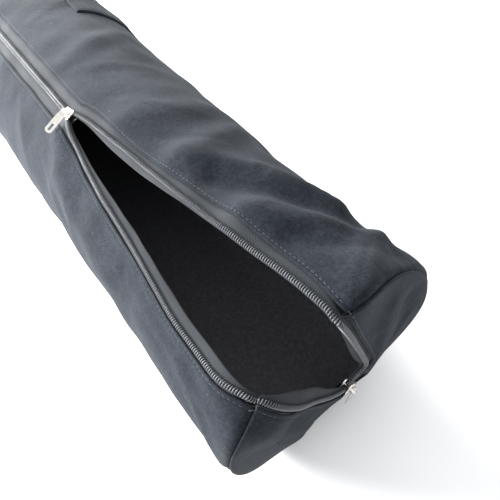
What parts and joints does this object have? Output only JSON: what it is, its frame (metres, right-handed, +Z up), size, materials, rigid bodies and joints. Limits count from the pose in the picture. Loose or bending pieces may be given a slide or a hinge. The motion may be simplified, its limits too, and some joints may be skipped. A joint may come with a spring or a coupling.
{
  "type": "yoga mat bag",
  "caption": "Soft black cloth tube bag for a rolled exercise mat, lying down, with a two-slider zip along the top and over one round end, half open.",
  "frame": {"origin": "under the middle of the whole bag, on the surface that it lies on", "axes": "+X along the bag to the end that opens, +Y to the bag's right seen from the far end, +Z up"},
  "size_m": [0.702, 0.1612, 0.1412],
  "materials": {
    "cloth": "matte brushed cotton twill, black",
    "zip_tape": "matte black woven zip tape",
    "zip_coil": "satin black nylon coil",
    "zip_metal": "bright nickel, slightly warm"
  },
  "bodies": {
    "bag": {"main_panel": "cloth", "near_end_panel": "cloth", "far_end_panel": "cloth", "pocket": "cloth", "zip_tape_left": "zip_tape", "zip_tape_right": "zip_tape", "zip_coil_left": "zip_coil", "zip_coil_right": "zip_coil", "slider_top": "zip_metal", "slider_end": "zip_metal"},
    "top_pull": {"pull_top": "zip_metal"},
    "end_pull": {"pull_end": "zip_metal"}
  },
  "joints": [
    {"name": "top_pull_flip", "type": "hinge", "parent": "bag", "child": "top_pull", "pos_m": [0.10047, -0.04733, 0.12928], "axis": [-1, 0, 0], "range_deg": [0, 185]},
    {"name": "end_pull_swing", "type": "hinge", "parent": "bag", "child": "end_pull", "pos_m": [0.34602, 0.01039, 0.04478], "axis": [0.987, 0.1188, -0.1087], "range_deg": [-60, 60]}
  ]
}
